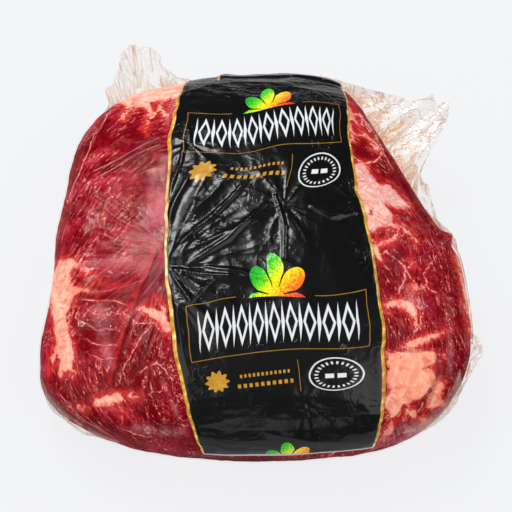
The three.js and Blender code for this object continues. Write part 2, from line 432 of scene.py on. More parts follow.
# Marks on the meat: chains of discs (x, y, radius) in px of the picture, unless a line says otherwise
meatMarks = {
    "fat": [
        [(116, 98, 5), (130, 98, 9), (145, 92, 12), (160, 90, 12), (174, 90, 12), (190, 90, 13)],
        [(130, 105, 3), (127, 114, 1)], [(147, 103, 3), (151, 113, 1), (147, 121, 0.5)],
        [(162, 102, 3), (158, 112, 1.2), (149, 122, 1), (145, 130, 0.5)], [(160, 108, 1), (166, 116, 0.8)],
        [(176, 102, 3), (180, 110, 1)], [(138, 104, 2), (134, 110, 1)],
        [(64, 268, 9), (61, 284, 12), (62, 299, 11), (60, 313, 7), (61, 328, 7), (64, 346, 8),
         (66, 359, 6), (59, 374, 2)],
        [(70, 264, 5), (82, 267, 3), (93, 272, 0.5)], [(74, 290, 4), (86, 291, 1.5), (97, 294, 0)],
        [(66, 362, 3), (74, 376, 0.5)], [(56, 345, 2), (50, 372, 0.5)],
        [(96, 403, 3), (108, 400, 6), (118, 399, 6), (125, 397, 2)],
        [(130, 396, 3), (138, 397, 1.5)], [(119, 407, 1.5), (124, 411, 2)], [(79, 407, 3), (85, 410, 3)],
        [(134, 308, 1), (148, 311, 3), (160, 316, 6), (167, 326, 6)], [(158, 300, 1), (164, 310, 3)],
        [(360, 170, 8), (367, 188, 13), (374, 203, 16), (382, 214, 13), (370, 226, 7)],
        [(386, 194, 9), (398, 203, 6), (408, 207, 3)],
        [(344, 102, 1), (352, 118, 1.5), (364, 133, 1.2), (378, 150, 1)],
        [(346, 118, 3), (350, 131, 3.5), (354, 142, 1.5)],
        [(385, 306, 3), (397, 303, 5), (408, 306, 5), (414, 314, 4), (417, 325, 2)],
        [(386, 354, 0), (400, 349, 1.5), (416, 343, 4), (434, 336, 3), (455, 328, 0)],
        [(398, 361, 10), (414, 360, 12), (431, 358, 7)], [(404, 378, 17), (418, 386, 16), (399, 400, 13)],
        [(396, 402, 12), (400, 420, 9), (388, 434, 3)], [(410, 412, 11), (424, 422, 4)],
        [(428, 376, 8), (440, 386, 4), (432, 400, 9), (444, 404, 3)],
        [(437, 207, 2), (450, 231, 2.5), (456, 250, 2), (463, 277, 2), (468, 305, 2.5), (471, 330, 2.5)],
        [(388, 224, 2), (400, 227, 2), (409, 233, 1.5), (417, 242, 1)],
        [(378, 245, 1.5), (387, 241, 1.5), (396, 238, 1)], [(371, 240, 3), (376, 250, 2.5), (380, 258, 1)],
        [(410, 262, 1), (417, 268, 1.5)], [(412, 284, 1.5), (414, 289, 2), (426, 287, 1)],
        [(122, 119, 0.8), (126, 112, 1.2)],
    ],
    # where red muscle shows through the fat in fingers
    "thin": [
        [(163, 78, 2.5), (162, 88, 2)], [(122, 91, 1.5), (127, 89, 1.5)],
        [(404, 406, 3), (398, 420, 4.5), (400, 436, 5)], [(414, 402, 2), (409, 414, 3.5), (410, 430, 4)],
        [(430, 390, 2), (422, 404, 3), (417, 420, 4)], [(388, 332, 2), (394, 345, 2)],
        [(368, 196, 2), (372, 212, 3)], [(384, 204, 1.5), (396, 214, 2)],
    ],
    # orange red muscle beside the fat
    "glow": [
        [(80, 270, 8), (100, 284, 7), (118, 288, 4), (130, 287, 2)],
        [(76, 330, 2), (74, 350, 3), (68, 366, 2)],
        [(50, 350, 3), (56, 376, 3)], [(388, 315, 1), (400, 322, 2), (410, 331, 1)],
        [(384, 232, 1), (396, 232, 1)], [(396, 348, 1), (430, 338, 2), (452, 329, 1)],
    ],
    # what the pack's own roundness darkens where it turns under
    "under": [
        [(118, 447, 0), (160, 457, 1), (210, 461, 3), (290, 463, 3), (370, 460, 3), (404, 444, 1)],
    ],
    # the long furrow beside the panel, as a line through (x, y); it is dented in, with a painted shade line
    # and a painted highlight on its left edge
    "furrow": [(158, 250), (150, 270), (143, 287), (131, 317), (122, 347), (112, 384)],
    # pale veins: half a width, and the line through (x, y)
    "veins": [
        (1.5, [(345, 104), (351, 112), (360, 115), (368, 125), (374, 133), (384, 153), (395, 169)]),
        (1.6, [(349, 126), (354, 134), (366, 135), (375, 143), (381, 153)]),
        (1.3, [(351, 148), (354, 158), (366, 163), (376, 160), (382, 154)]),
        (1.0, [(361, 117), (364, 127), (371, 132)]), (1.0, [(346, 118), (352, 128), (350, 143)]),
        (1.0, [(380, 242), (394, 239), (400, 227), (412, 235), (419, 243)]),
        (1.2, [(398, 261), (406, 268), (404, 281), (398, 292)]),
        (1.0, [(415, 261), (406, 268), (411, 279), (418, 288)]),
        (0.8, [(376, 256), (386, 251), (392, 256)]), (0.8, [(432, 262), (424, 274), (428, 287), (437, 294)]),
        (0.8, [(415, 304), (422, 311), (420, 325), (414, 334)]),
        (0.8, [(84, 299), (98, 301), (112, 300), (127, 304)]),
        (0.7, [(126, 315), (140, 324), (152, 321), (160, 330)]),
        (0.6, [(120, 376), (130, 356), (142, 336), (153, 322)]),
        (0.5, [(108, 114), (95, 134), (85, 158), (72, 190), (67, 204)]),
        (0.7, [(126, 430), (138, 435), (150, 437)]), (0.7, [(140, 372), (156, 362), (166, 370), (172, 382)]),
        (0.5, [(88, 310), (98, 315), (112, 312), (124, 316)]),
        (0.5, [(84, 322), (96, 330), (112, 328), (122, 331)]),
        (0.5, [(88, 340), (100, 346), (116, 344)]), (0.5, [(94, 356), (104, 360), (114, 358)]),
    ],
    # darker muscle: partly the meat's own deep red, partly painted shade in creases, along the lower edges
    # and in the strip under the panel's front
    "deep": [
        [(108, 128, 9), (122, 138, 14), (142, 146, 14), (164, 140, 8)],
        [(98, 168, 8), (118, 165, 10), (140, 160, 8)],
        [(157, 253, 2), (143, 286, 3), (131, 316, 3.5), (122, 347, 4), (113, 379, 3)],
        [(83, 294, 4), (100, 297, 3), (121, 292, 1.5)], [(80, 283, 6), (88, 290, 6)],
        [(154, 329, 1.5), (149, 345, 5), (141, 360, 9), (134, 374, 6)],
        [(139, 413, 1), (160, 430, 2.6), (190, 441, 2)],
        [(50, 296, 1.5), (51, 318, 2.5), (52, 345, 3)],
        [(358, 148, 8), (372, 150, 8), (366, 138, 6)],
        [(388, 158, 3), (402, 178, 6), (416, 200, 6), (431, 226, 5), (446, 258, 4), (456, 296, 4)],
        [(456, 354, 7), (451, 372, 9), (445, 391, 5)], [(398, 321, 8), (412, 333, 6)],
        [(60, 380, 4), (75, 398, 5), (95, 422, 4)],
        [(120, 448, 4), (160, 457, 5), (210, 463, 5), (290, 467, 6), (370, 461, 5), (400, 446, 4)],
    ],
    # painted sheen: where the film's broad glare lies on the front, a pale veil is painted over the meat
    "haze": [
        [(156, 176, 5), (158, 200, 10), (152, 228, 15), (146, 250, 11)],
        [(150, 268, 7), (128, 262, 5), (105, 262, 1)], [(126, 240, 1), (142, 236, 7)],
        [(100, 312, 4), (106, 350, 2), (112, 366, 0)], [(162, 380, -3), (180, 420, -3)],
        [(135, 428, 0), (184, 433, 0)], [(448, 300, -3), (450, 372, -2)],
        [(172, 118, 5), (176, 112, 5)],
        [(400, 440, 4), (430, 425, 5), (375, 440, 4)],
    ],
    # long creases that the tight film bridges; they are dented in, and painted shade darkens them
    "crease": [
        [(83, 295, 1), (100, 297, 1), (122, 291, 0)], [(156, 327, 0), (146, 350, 3), (134, 374, 3)],
        [(139, 412, 0), (160, 430, 1), (192, 441, 0)],
        [(386, 152, 1), (402, 178, 2), (416, 202, 2)], [(392, 349, 1), (420, 352, 0), (452, 338, 1)],
        [(438, 352, 1), (440, 372, 2), (428, 404, 1)],
    ],
    # small swellings: x, y, half width, half height, and how far they stand out in mm
    "bumps": [(446, 238, 5, 8, 5.0), (50, 298, 14, 20, 2.2)],
    # the fat's own tone, 0 pale rose, 1 warm peach, -1 veined with lilac: the x and the y between
    # which each tone grows, how much it adds, and whether it is on the front alone
    "warmth": [(330, 420, 300, 360, 1.0, False), (110, 84, 240, 262, 0.45, True),
               (345, 362, 240, 215, -1.0, True)],
    # where the pack is pressed in under the strip's doubled end: where that starts and is full at
    # the left, the right and the front, its middle and half width, and the least and most depth in mm
    "flapLeft": (176, 190), "flapRight": (352, 338), "flapFront": (116, 84),
    "flapMiddle": (288, 62), "flapDepth": (0.7, 4.2),
}
print("marks placed")

# The grid that meat and bag share: rows from the crown to the middle of the base, spaced
# evenly along a section, columns round it, with the seam under the panel at the front
shapeGrid = {
    "rows": 190, "columns": 500,
    "filmGap": 0.9,                 # mm from the meat to the film
    "baseFade": 14.0,               # mm above the floor where the relief is full
    "grainAxis": (0, -112, 0),      # the fibres run round an upright line here
    "grainReach": 130.0,            # mm from it, where a fibre's length is true
    "grainDrop": 0.9,               # how much they move on for each mm down the sides
    "grainSwirl": 30.0,             # mm that they sway
}


def shellDirections(rows, columns):
    # elevations whose mean section has equal steps of arc length, and even azimuths
    elevations = np.linspace(90, -90, 2001)
    section = packPoint(direction(np.full(2001, 200.0), elevations))
    even = evenSteps(section, elevations, np.linspace(0, 1, rows + 2)[1:-1])
    return direction((-90 + 360 * np.arange(columns) / columns)[None, :], even[:, None])


directions = shellDirections(shapeGrid["rows"], shapeGrid["columns"])
bare = packPoint(directions)
outward = gridNormals(bare, wrap=True)
bare = bare - outward * carved(directions)[..., None]
seen = seenAt(bare)
seenX, seenY = seen[..., 0], seen[..., 1]
# the marks of the front belong to what faces the view; the rest of the pack has its own
towardsEye = outward @ direction(-90.0, viewFrame["elevation"])
facing = smooth(*viewFrame["turnsAway"], towardsEye)
lumps = lumpsAt(bare)
for x, y, wide, high, height in meatMarks["bumps"]:
    lumps = lumps + height * np.exp(-((seenX - x) / wide) ** 2 - ((seenY - y) / high) ** 2) * facing
atBase = smooth(0, shapeGrid["baseFade"], bare[..., 2])


def underFlap(places):
    # how far the pack is pressed in under the strip's doubled end: an even depth and an arch across it
    middle, half = meatMarks["flapMiddle"]
    least, most = meatMarks["flapDepth"]
    inside = smooth(*meatMarks["flapLeft"], places[..., 0]) * smooth(*meatMarks["flapRight"], places[..., 0])
    arch = np.clip(1 - ((places[..., 0] - middle) / half) ** 2, 0, 1)
    return (least + most * arch) * inside * smooth(*meatMarks["flapFront"], places[..., 1])


def standOut(height, least):
    # the shell moved out by a height, fading out at the flat base, and held a least height above it
    points = bare + outward * ((height - underFlap(seen)) * atBase)[..., None]
    points[..., 2] = np.maximum(points[..., 2], least)
    return points


def patched(word):
    # px inside one kind of mark on the front, blended into broad patches of noise on the other sides
    cell, level, seed, sharp = meatPatches[word]
    patches = sharp * (octaves(bare, cell, 3, seed) - level)
    return insideChains(seen, meatMarks[word]) * facing + patches * (1 - facing)


def marked(word, low, high):
    # how far a place is inside one kind of mark, 0 to 1 between two depths, on the front alone
    return smooth(low, high, insideChains(seen, meatMarks[word])) * facing


def lineField(line):
    # the distance to a line on the front, and far off everywhere else
    return besideLine(seen, line) * facing + viewFrame["far"] * (1 - facing)


# the patches: a cell in mm, the level of noise above which they show, a seed, and px for each level
meatPatches = {"fat": (48, 0.60, 21, 60), "deep": (30, 0.56, 31, 40)}
fat = np.clip(patched("fat"), -12, 12) - 9 * marked("thin", -3, 3)
deep = patched("deep")
# the painted sheen of the film's glare, on the front alone
haze = smooth(-8, 6, insideChains(seen, meatMarks["haze"]) * facing - 3 * (1 - facing))
under = smooth(-3, 3, insideChains(seen, meatMarks["under"])) * smooth(-0.6, -0.3, towardsEye)
crease = marked("crease", -2.5, 2.0)
furrow = lineField(meatMarks["furrow"])
warmth = 0.0
for x0, x1, y0, y1, tone, frontAlone in meatMarks["warmth"]:
    warmth = warmth + tone * smooth(x0, x1, seenX) * smooth(y0, y1, seenY) * (facing if frontAlone else 1)

# how far things stand out of the meat's lumps, in mm
meatRelief = {"crease": -2.0, "furrow": -1.6, "fat": 0.7, "pits": -0.35, "ridges": 0.3}
reliefFields = {"crease": crease, "furrow": np.exp(-(furrow / 3) ** 2), "fat": smooth(-2, 4, fat),
                "pits": 1 - noise(bare, 4, 9), "ridges": ridges(bare, 7, 12) - 0.4}
relief = lumps + sum(meatRelief[word] * field for word, field in reliefFields.items())

# grain coordinates in mm: along arcs round the grain's axis, and away from it, growing down the
# sides too; a slow noise makes them sway
fromAxis = bare - np.array(shapeGrid["grainAxis"])
grainAlong = np.arctan2(fromAxis[..., 0], fromAxis[..., 1]) * shapeGrid["grainReach"]
grainAcross = np.hypot(fromAxis[..., 0], fromAxis[..., 1]) - shapeGrid["grainDrop"] * bare[..., 2]
grain = np.stack([grainAlong, grainAcross], -1) + shapeGrid["grainSwirl"] * wander(bare, 58, 61)

beefFields = {"fat": fat, "deep": smooth(-5, 3, deep), "haze": haze, "warmth": warmth, "crease": crease,
              "under": under, "ember": marked("glow", -4, 4), "furrow": furrow}
veinFields = {f"vein{k}": lineField(line) for k, (_, line) in enumerate(meatMarks["veins"])}
beef = gridPiece("beef", standOut(relief, 0.9), wrap=True, closeEnds=True, uv=grain,
                 fields=beefFields | veinFields)
print("beef made:", len(beef.data.polygons), "faces")

# Raw beef: wet muscle with marbling, and the hard white to peach fat between its bundles
beefLook = {
    "muscleDeep": "700410", "muscle": "981628", "muscleLight": "B6384A", "musclePaleAndSheen": "D47A86",
    "fringe": "CC2A2A", "ember": "D8403A", "paintedSheenTint": "DE8C92",
    "furrow": "6C0008", "underside": "38100F",
    "fatPale": "FFC2AA", "fatCream": "FFD8C4", "fatWarm": "FFA886", "fatGlow": "FFC2A2",
    "fatPink": "EC7A6A", "fatLilac": "C69AA4", "fatDusk": "F08A6C",
    # mm along and across the grain, each half a cell of noise: coarser than life, so that they show
    "bundle": (5.0, 1.8),
    "fleck": "F8BEB0", "fleckSize": (6.0, 0.8),
    "threads": (9.5, 9.5 / 3),   # the fine threads of marbling
    "fibre": (16.0, 2.4),        # the fat's streaks
    # mm, cells of the other patterns of muscle, of fat, and of the fat's border
    "blotch": 22, "cluster": 30, "speck": 2.0, "sway": 7,
    "mottle": 9, "fatVein": 13, "knot": 5, "lilac": 11, "border": 13,
    "raggedness": 7.0,           # px that noise moves a fat border
    "wetness": 0.42,             # roughness; the film wets the meat, so only its outer face shines
}


def beefMaterial(look):
    # the muscle's tone is a sum of noises; marbling shows where noises along the grain pass a
    # level, and fat where the distance to its border, moved by noise, is above zero
    material, add, fat, deep, haze, warmth, crease, under, ember, furrow, *veins = newMaterial(
        "raw_marbled_beef", [*beefFields, *veinFields])
    place, uv = add("TexCoord", output="Object"), add("UVMap", uv_map="place")
    drawn = partial(drawnOut, add, uv, scale=0.5, rough=0.68)

    bundle = drawn(*look["bundle"], 3.0, 1.6)
    blotch = add("TexNoise", place, 1000 / look["blotch"], 8.0, 0.66, Distortion=0.5)
    speck = add("TexNoise", place, 1000 / look["speck"], 3.0, 0.6)
    # the deep field darkens the tone, partly as the meat's own darker muscle and partly as painted shade;
    # the painted sheen lightens it towards the palest tone
    tone = weighted(add, -0.685, (blotch, 1.35), (bundle, 0.50), (speck, 0.40), (deep, -0.10),
                    (haze, 0.12))
    muscle = add("ValToRGB", tone, ramp=[(0.34, look["muscleDeep"]), (0.54, look["muscle"]),
                                         (0.72, look["muscleLight"]), (0.92, look["musclePaleAndSheen"])])
    # marbling: short flecks along the grain, and threads where a noise passes its middle value
    cluster = add("step", add("TexNoise", place, 1000 / look["cluster"], 2.0, 0.6), 0.38, 0.62)
    fleck = weighted(add, drawn(*look["fleckSize"], 2.0, 0.4), (deep, -0.05), (cluster, 0.05))
    threads = drawn(*look["threads"], 2.0, 0.5)
    shown = add("MULTIPLY", cluster, add("step", bundle, 0.36, 0.50), weighted(add, 1.0, (deep, -0.5)))
    red = [add("step", fleck, 0.695, 0.745), add("MULTIPLY", crest(add, threads, 0.060, 0.015), shown)]
    white = [add("step", fleck, 0.75, 0.795),
             add("MULTIPLY", crest(add, threads, 0.028, 0.006), shown, add("step", speck, 0.44, 0.56))]
    # the long veins, swaying and broken up a little
    sway = add("MULTIPLY_ADD", add("TexNoise", place, 1000 / look["sway"], 4.0, 0.6), 8.0, -4.0)
    broken = add("step", speck, 0.40, 0.54)
    for vein, (half, _) in zip(veins, meatMarks["veins"]):
        beside = add("ABSOLUTE", add("ADD", vein, sway))
        red.append(add("MULTIPLY", add("step", beside, 3.6 * half, 0.7 * half), 0.7))
        white.append(add("MULTIPLY", add("step", beside, half, 0.3 * half), broken))
    # fat: the distance to its border, moved by noise and drawn out along the grain; red fingers
    # reach out of it, and the warm fat is plainer than the pale one
    ragged = look["raggedness"]
    moved = add("TexNoise", place, 1000 / look["border"], 6.0, 0.66)
    border = weighted(add, -ragged - 4.3, (moved, 2 * ragged), (bundle, 3.6), (speck, 5.0), (fat, 1.0))
    fringe = add("MAXIMUM", add("step", border, -9.0, -0.6), ember)
    fringe = add("MULTIPLY", fringe, add("step", bundle, 0.30, 0.64))
    near = add("MULTIPLY", add("step", border, -5.0, 0.0), add("step", bundle, 0.28, 0.64))
    colour = layered(
        add, muscle, (add("MAXIMUM", *red), 0.55, look["fringe"]), (fringe, 0.8, look["fringe"]),
        (near, 0.6, look["ember"]), (add("MAXIMUM", *white), 0.75, look["fleck"]))
    mottle = add("TexNoise", place, 1000 / look["mottle"], 6.0, 0.65, Distortion=0.8)
    vein = crest(add, add("TexNoise", place, 1000 / look["fatVein"], 5.0, 0.6, Distortion=1.2), 0.030)
    vein = add("MULTIPLY", vein, add("step", blotch, 0.42, 0.60))
    fibre = drawn(*look["fibre"], 2.0, 1.0)
    streak = add("MULTIPLY_ADD", add("MAXIMUM", warmth, 0.0), -0.25, 0.50)
    knot = add("TexNoise", place, 1000 / look["knot"], 4.0, 0.6, Distortion=0.6)
    lilac = add("TexNoise", place, 1000 / look["lilac"], 5.0, 0.7, Distortion=1.5)
    lilac = add("MULTIPLY", add("step", lilac, 0.42, 0.60), add("MULTIPLY", warmth, -0.8, use_clamp=True))
    hard = layered(
        add, add("blend", warmth, look["fatPink"], look["fatDusk"]),
        (add("step", mottle, 0.34, 0.54), 1.0, add("blend", warmth, look["fatPale"], look["fatWarm"])),
        (add("step", mottle, 0.54, 0.72), 1.0, add("blend", warmth, look["fatCream"], look["fatGlow"])),
        (add("step", fibre, 0.47, 0.36), streak, look["fatPink"]),
        (add("step", fibre, 0.54, 0.64), streak, look["fatCream"]),
        (add("step", knot, 0.56, 0.66), 0.5, look["fatCream"]), (vein, 0.7, look["fringe"]),
        (lilac, 1.0, look["fatLilac"]), (add("step", border, 4.5, 0.0), 0.6, look["fatPink"]))
    fatShare = add("step", border, -0.6, 1.4)
    # painted light: the film's glare as a painted sheen, painted shade in the creases, the furrow as a
    # painted shade line with a painted highlight on its left edge, and painted shade where the pack turns
    # under
    lined = weighted(add, furrow, (sway, 0.16))
    edge = add("step", add("ABSOLUTE", add("SUBTRACT", lined, 4.0)), 2.6, 0.6)
    colour = layered(
        add, colour, (fatShare, 1.0, hard), (haze, weighted(add, -0.27, (blotch, 0.9)), look["paintedSheenTint"]),
        (crease, 0.75, look["muscleDeep"]),
        (add("MULTIPLY", edge, add("step", speck, 0.36, 0.56)), 0.6, look["fringe"]),
        (add("step", add("ABSOLUTE", lined), 2.1, 1.0), 0.9, look["furrow"]),
        (under, 0.85, look["underside"]))
    height = weighted(add, add("MULTIPLY", bundle, 0.7), (speck, 0.4), (fatShare, 0.4))
    normal = add("Bump", 0.5, 0.0006, Height=height)
    add("OutputMaterial", add("BsdfPrincipled", Roughness=look["wetness"], IOR=1.38, Normal=normal, **{
        "Base Color": colour, "Specular IOR Level": 0.0, "Subsurface Weight": 0.05,
        "Subsurface Scale": 0.003, "Subsurface Radius": (1.0, 0.3, 0.2)}))
    return material


beef.data.materials.append(beefMaterial(beefLook))

# The clear bag, tight on the meat: it bridges the creases and is wrinkled where it was drawn
# together beside the panel
bagWrinkles = {
    # creases that fan out of a point: x, y, reach in px, count round a turn, height in mm
    "stars": [(161, 256, 105, 34, 0.6), (172, 196, 46, 26, 0.4), (160, 405, 60, 22, 0.3),
              (390, 245, 60, 22, 0.15), (440, 330, 60, 20, 0.3)],
    # long raised folds, as lines through (x, y) in px
    "folds": [[(94, 172), (112, 163), (134, 150), (160, 139)],
              [(101, 176), (118, 166), (138, 154), (161, 146)],
              [(112, 112), (98, 134), (86, 160), (71, 196)],
              [(84, 291), (100, 293), (122, 288), (146, 280)], [(60, 393), (84, 419), (120, 440)]],
    # the points that the drawn film's fine creases fan out of: x, y, the way that the turn is
    # counted and where it begins, the share that shows; the px between them; reach in mm
    "fans": [(176, 256, -1, 0, 1.0), (364, 262, 1, 9, 0.3)], "fansPart": 270, "fanReach": (100, 15),
    "fanRadius": 60.0,      # mm, where the distance across the creases is true
    "puckers": (13, 0.30),  # cell and height in mm, all over
}


def starHeight(places, x, y, reach, count, height, seed):
    # ridges that run out of a point: noise over the angle, faded with distance
    offset = places - np.array([x, y])
    distance = np.linalg.norm(offset, axis=-1)
    angle = np.arctan2(offset[..., 1], offset[..., 0])
    ring = np.stack([np.cos(angle) * count / 6.28, np.sin(angle) * count / 6.28, distance / 90 + seed], -1)
    fade = smooth(count / 8, count / 2, distance) * (1 - smooth(0.35, 1.0, distance / reach))
    return height * ridges(ring, 1.0, seed, 2.5) * fade


def fanRound(x, y, way, start, share):
    # the turn round a point, as mm at the fan's radius, the distance in mm, and the share that shows
    offset = way * (seen - np.array([x, y])) * viewFrame["pixel"]
    turn = (np.arctan2(offset[..., 1], offset[..., 0]) + start) * bagWrinkles["fanRadius"]
    return np.stack([turn, np.linalg.norm(offset, axis=-1), np.full_like(turn, share)], -1)


puckerCell, puckerHeight = bagWrinkles["puckers"]
bagHeight = lumps + shapeGrid["filmGap"] + puckerHeight * ridges(bare, puckerCell, 41, 1.5)
for k, star in enumerate(bagWrinkles["stars"]):
    bagHeight = bagHeight + facing * starHeight(seen, *star, 50 + k)
leftFan, rightFan = [fanRound(*fan) for fan in bagWrinkles["fans"]]
fan = np.where(seen[..., :1] < bagWrinkles["fansPart"], leftFan, rightFan)
# the film's painted sheen lies where the meat's does
bagFields = {"milk": np.clip(haze * 0.9, 0, 1),
             "drawn": smooth(*bagWrinkles["fanReach"], fan[..., 1]) * facing * fan[..., 2]}
foldFields = {f"fold{k}": lineField(line) for k, line in enumerate(bagWrinkles["folds"])}
clearBag = gridPiece("clear_bag", standOut(bagHeight, 0.25), wrap=True, closeEnds=True,
                     uv=fan[..., :2] + 5 * wander(bare, 30, 63), fields=bagFields | foldFields)
print("bag made:", len(clearBag.data.polygons), "faces")

# Clear polyethylene shrink film: a thin bright gloss over what it holds, with fine sharp creases
filmLook = {
    "gloss": 0.08,
    "mirror": 0.5, "polish": 0.20,   # the most it reflects, and the share that polarised light leaves
    "milk": "FFCCCA", "creaseHighlight": 0.24, "patchSheen": 0.04,   # the tint and shares of the painted highlights on creases and of the painted sheen on slack patches
    "foldWidth": 0.7, "foldHeight": 0.20, "foldHighlight": 0.34,    # px, mm, and the share of the painted highlight
    # mm: how far apart waves and creases are and how long, and how high they stand
    "wave": 15.0, "waveHeight": 0.16, "crease": (2.8, 30.0), "creaseHeight": 0.20,
    "close": (2.2, 16.0), "closeHeight": 0.10, "closeHighlight": 0.46,   # the closer creases where the painted sheen lies, and the share of their painted highlight
    "fine": 7.0, "fineHeight": 0.015, "patch": 30.0, "sway": 16.0,
}


def filmMaterial(look):
    # creases are crests of stretched noise and of the distance to the folds; they raise the surface, and
    # each whitens the clear film by its own share as a painted highlight, as the patches of painted sheen do
    material, add, milk, drawn, *folds = newMaterial(
        "clear_polyethylene_shrink_film", [*bagFields, *foldFields])
    place, uv = add("TexCoord", output="Object"), add("UVMap", uv_map="place")
    patches = add("MapRange", add("TexNoise", place, 1000 / look["patch"], 2.0), 0.40, 0.62)
    mostly = weighted(add, 0.3, (patches, 0.7))
    sway = add("MULTIPLY_ADD", add("TexNoise", place, 1000 / look["sway"], 1.0), 3.0, -1.5)
    radial = crest(add, drawnOut(add, uv, *look["crease"], 2.0, 0.4, scale=0.5), 0.07)
    radial = add("MULTIPLY", radial, add("MAXIMUM", drawn, milk))
    close = crest(add, drawnOut(add, uv, *look["close"], 2.0, 0.6), 0.11)
    close = add("MULTIPLY", close, milk, mostly)
    folds = [add("step", add("ABSOLUTE", add("ADD", fold, sway)), look["foldWidth"], 0.0) for fold in folds]
    folded = add("MULTIPLY", add("MAXIMUM", *folds), weighted(add, 0.4, (patches, 0.6)))
    small = crest(add, add("TexNoise", place, 1000 / look["fine"], 1.0, Distortion=0.4), 0.10)
    height = weighted(
        add, add("MULTIPLY", small, patches, look["fineHeight"]), (radial, look["creaseHeight"]),
        (folded, look["foldHeight"]), (close, look["closeHeight"]),
        (add("TexNoise", place, 1000 / look["wave"], 1.0), look["waveHeight"]))
    share = weighted(
        add, add("MULTIPLY", radial, mostly, look["creaseHighlight"]), (close, look["closeHighlight"]),
        (folded, look["foldHighlight"]), (add("MULTIPLY", patches, milk), look["patchSheen"]))
    normal = add("Bump", 1.0, 0.001, Height=height)
    body = add("MixShader", share, add("BsdfTransparent"), add("BsdfDiffuse", look["milk"], Normal=normal))
    glossOver(add, body, normal, look["gloss"], look["mirror"], look["polish"])
    return material


clearBag.data.materials.append(filmMaterial(filmLook))

# The printed panel: a strip of the bag from the back, over the crown, to the front
panelForm = {
    "leftX": [-50, -56, -65, -62, -44, -33, -38, -45, -48],
    "rightX": [62, 68, 72, 87, 86, 78, 70, 62, 58],
    "stationStart": -10.0, "stationStep": 40.0,   # degrees round the pack
    "backEnd": -12.0, "frontEnd": 173.6,
    "rows": 400, "columns": 150,
    "width": 150.0,         # mm across the print before the film shrank
    "lift": 0.75,           # mm above the clear film beside it
    "tuck": 1.2,            # mm that its rim is drawn down
    "jitter": 3.0,          # mm that the edges sway
    # mm along the strip and the print's own mm there, near the left and the right edge
    "printLeft": [(-60, -128), (97.7, 29.5), (139.5, 70.5), (157, 88.5), (264, 189.5), (307, 230.5),
                  (323, 248), (390, 357)],
    "printRight": [(-60, -110), (79.7, 29.5), (114, 70.5), (145, 97), (252, 189.5), (293, 230.5),
                   (317, 257), (390, 371)],
    "printSides": (0.1, 0.92),      # where across the strip those two places are
    # mm: how far the print's middle is drawn back, half the bow as a share across, and where it grows
    "bow": 7.5, "bowHalf": 0.42, "bowFades": (215, 110),
    "narrow": 130.0, "rim": (5, 1.2),   # mm: the width on the pack; what the wrinkles and the tuck take
    "glare": (245, 55),     # px, middle and half height of a painted highlight on the left gold edge
    "crinkled": (110, 50),  # mm from the back end between which fine crinkles spread all over
}
panelWrinkles = {
    # x, y in px, reach, count round a turn, height in mm
    "stars": [(168, 264, 150, 19, 2.0), (168, 264, 120, 44, 0.7), (176, 296, 80, 15, 0.8),
              (186, 150, 60, 14, 0.6), (284, 205, 70, 18, 0.5), (352, 200, 60, 14, 0.6),
              (180, 110, 50, 16, 0.5), (372, 262, 45, 14, 0.3), (300, 400, 80, 14, 0.3)],
    "folds": [
        [(186, 244, 1), (214, 222, 2.2), (252, 178, 1)], [(190, 262, 1), (230, 238, 2), (266, 206, 1)],
        [(180, 150, 0.8), (172, 190, 1.8), (170, 240, 1)], [(276, 196, 1), (283, 226, 1.4), (279, 258, 1)],
        [(182, 284, 1), (192, 300, 2.2), (212, 276, 1)], [(206, 264, 1), (236, 268, 1.6), (288, 286, 1)],
        [(310, 204, 1), (328, 214, 1.8), (352, 212, 1)]],
    "fold": 1.2,
    "bend": (48, 14.0), "sway": (40, 8.0),   # cell in mm; px that the lines sway, mm that creases do
    # creases across the strip's ends: mm from the end where they begin and are full, and their share
    "backEnd": (110, 30, 1.0), "frontEnd": (95, 20, 0.8),
    "creases": [(0.20, 10, 0.75), (0.28, 4.6, 0.35)],      # squeeze across, cell and height in mm
    "crumple": [(14, 0.5), (7, 0.26)], "slack": (20, 0.5),   # cell and height in mm
    "crumpleShare": (0.25, 0.35), "crumpleLeft": (190, 130, 60),   # all over, and more at the left: mm
    # the second layer that is folded over at the back: its height, its end and its side
    "flap": 1.5, "flapEnd": (46, 43), "flapSide": (0.20, 0.225),
}


def panelGrid(form):
    # rows at even steps of arc length along the middle of the strip, columns straight across; both
    # edges are drawn in here and there, over long and short lengths
    fine = np.linspace(form["backEnd"], form["frontEnd"], 800)
    around = evenSteps(packAt(np.full(800, 0.08), fine), fine, np.linspace(0, 1, form["rows"] + 1))
    station = (around - form["stationStart"]) / form["stationStep"]
    rough = np.stack([around / 2.2, 0 * around, 0 * around], -1)
    sways = [form["jitter"] * (octaves(rough, 3.0, 3, seed) - 0.5) for seed in (91, 92)]
    left, right = [sideAt(closedCurve(form[edge], station) + sway, around)
                   for edge, sway in zip(("leftX", "rightX"), sways)]
    across = np.linspace(0, 1, form["columns"] + 1)
    side = left[:, None] + (right - left)[:, None] * across[None, :]
    points = packAt(side, np.repeat(around[:, None], form["columns"] + 1, 1))
    return points, across, arcLength(points[:, form["columns"] // 2])


panelBare, across, along = panelGrid(panelForm)
panelOut = gridNormals(panelBare)
panelSeen = seenAt(panelBare)
acrossGrid, alongGrid = np.meshgrid(across, along)
length = along[-1]


